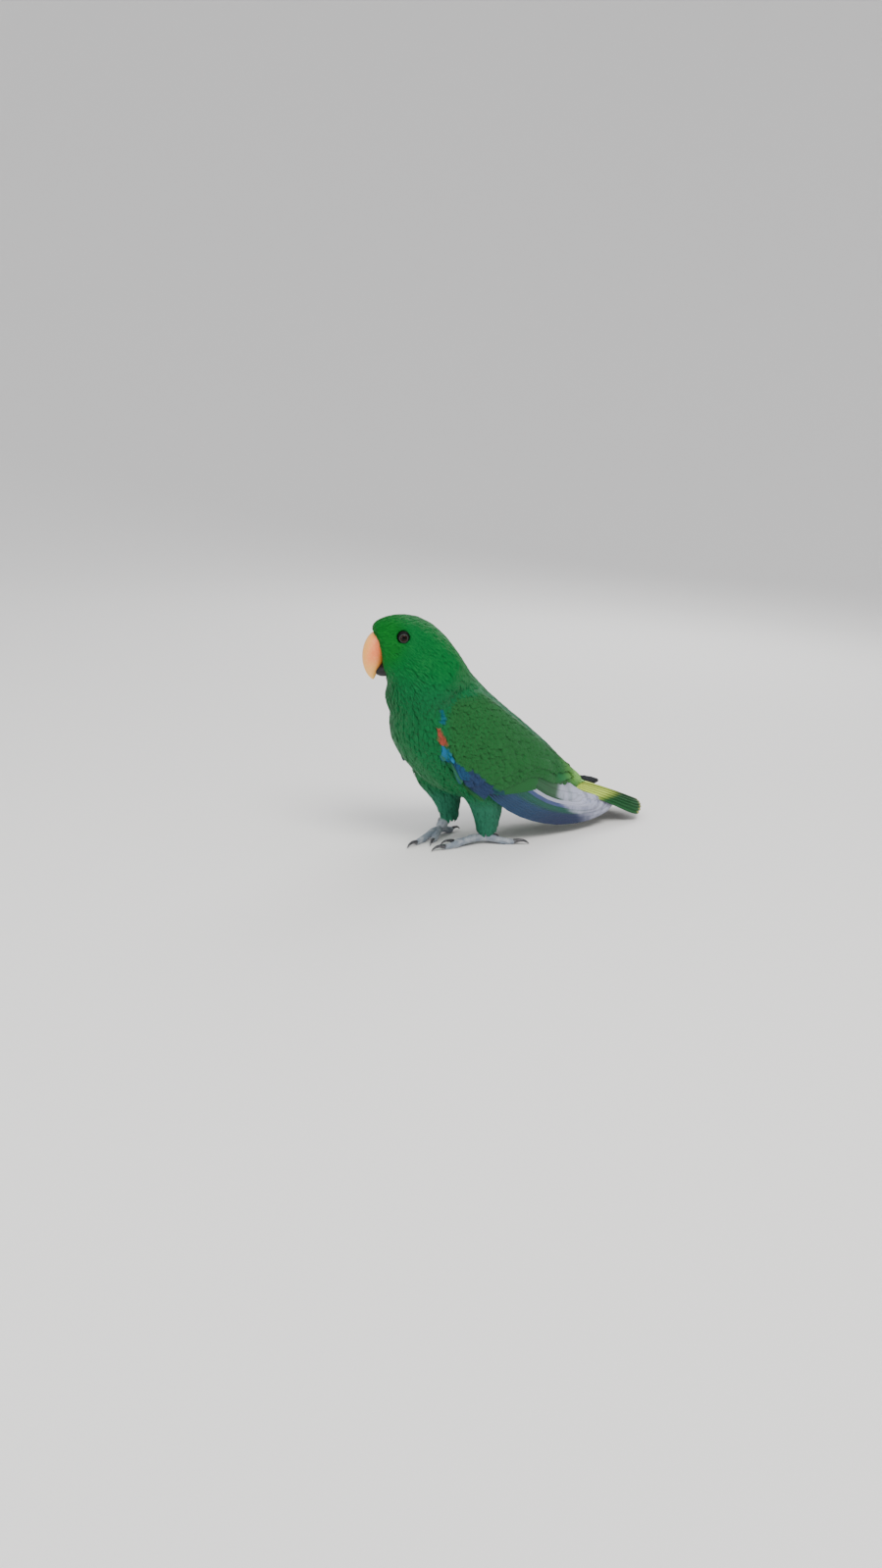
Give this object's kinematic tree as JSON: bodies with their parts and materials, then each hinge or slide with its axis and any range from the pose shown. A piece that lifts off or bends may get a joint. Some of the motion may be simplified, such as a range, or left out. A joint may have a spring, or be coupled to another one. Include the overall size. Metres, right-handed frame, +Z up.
{
  "type": "still model of a male eclectus parrot",
  "caption": "Life-size still model of a standing male eclectus parrot: green body, folded wings, low tail, hooked pale orange bill and grey feet, for display.",
  "frame": {"origin": "on the floor that the toes stand on, under the middle of the bird's bounding box", "axes": "+Z up, the bird faces -Y with its tail towards +Y, and its left side is +X"},
  "size_m": [0.0956, 0.3058, 0.1917],
  "materials": {
    "plumage": "soft overlapping contour feathers, green",
    "flight_feathers": "smooth flight feathers, dark blue with a lilac-grey gloss",
    "tail_feathers": "smooth tail feathers, green with a yellow-green base",
    "upper_bill": "smooth horn, orange-pink to yellow at the tip",
    "lower_bill": "smooth black horn",
    "eye": "wet, glossy, dark with a brown-orange iris",
    "foot_skin": "small grey scales",
    "claw": "smooth dark horn"
  },
  "bodies": {
    "root": {"head": "plumage", "neck": "plumage", "trunk": "plumage", "wing_left": "plumage", "wing_right": "plumage", "thigh_left": "plumage", "thigh_right": "plumage", "flight_feathers_left": "flight_feathers", "flight_feathers_right": "flight_feathers", "tail": "tail_feathers", "upper_mandible": "upper_bill", "lower_mandible": "lower_bill", "eye_left": "eye", "eye_right": "eye", "tarsus_left": "foot_skin", "tarsus_right": "foot_skin", "toe_inner_front_left": "foot_skin", "toe_outer_front_left": "foot_skin", "toe_outer_hind_left": "foot_skin", "toe_inner_hind_left": "foot_skin", "toe_inner_front_right": "foot_skin", "toe_outer_front_right": "foot_skin", "toe_outer_hind_right": "foot_skin", "toe_inner_hind_right": "foot_skin", "claw_inner_front_left": "claw", "claw_outer_front_left": "claw", "claw_outer_hind_left": "claw", "claw_inner_hind_left": "claw", "claw_inner_front_right": "claw", "claw_outer_front_right": "claw", "claw_outer_hind_right": "claw", "claw_inner_hind_right": "claw"}
  },
  "joints": []
}
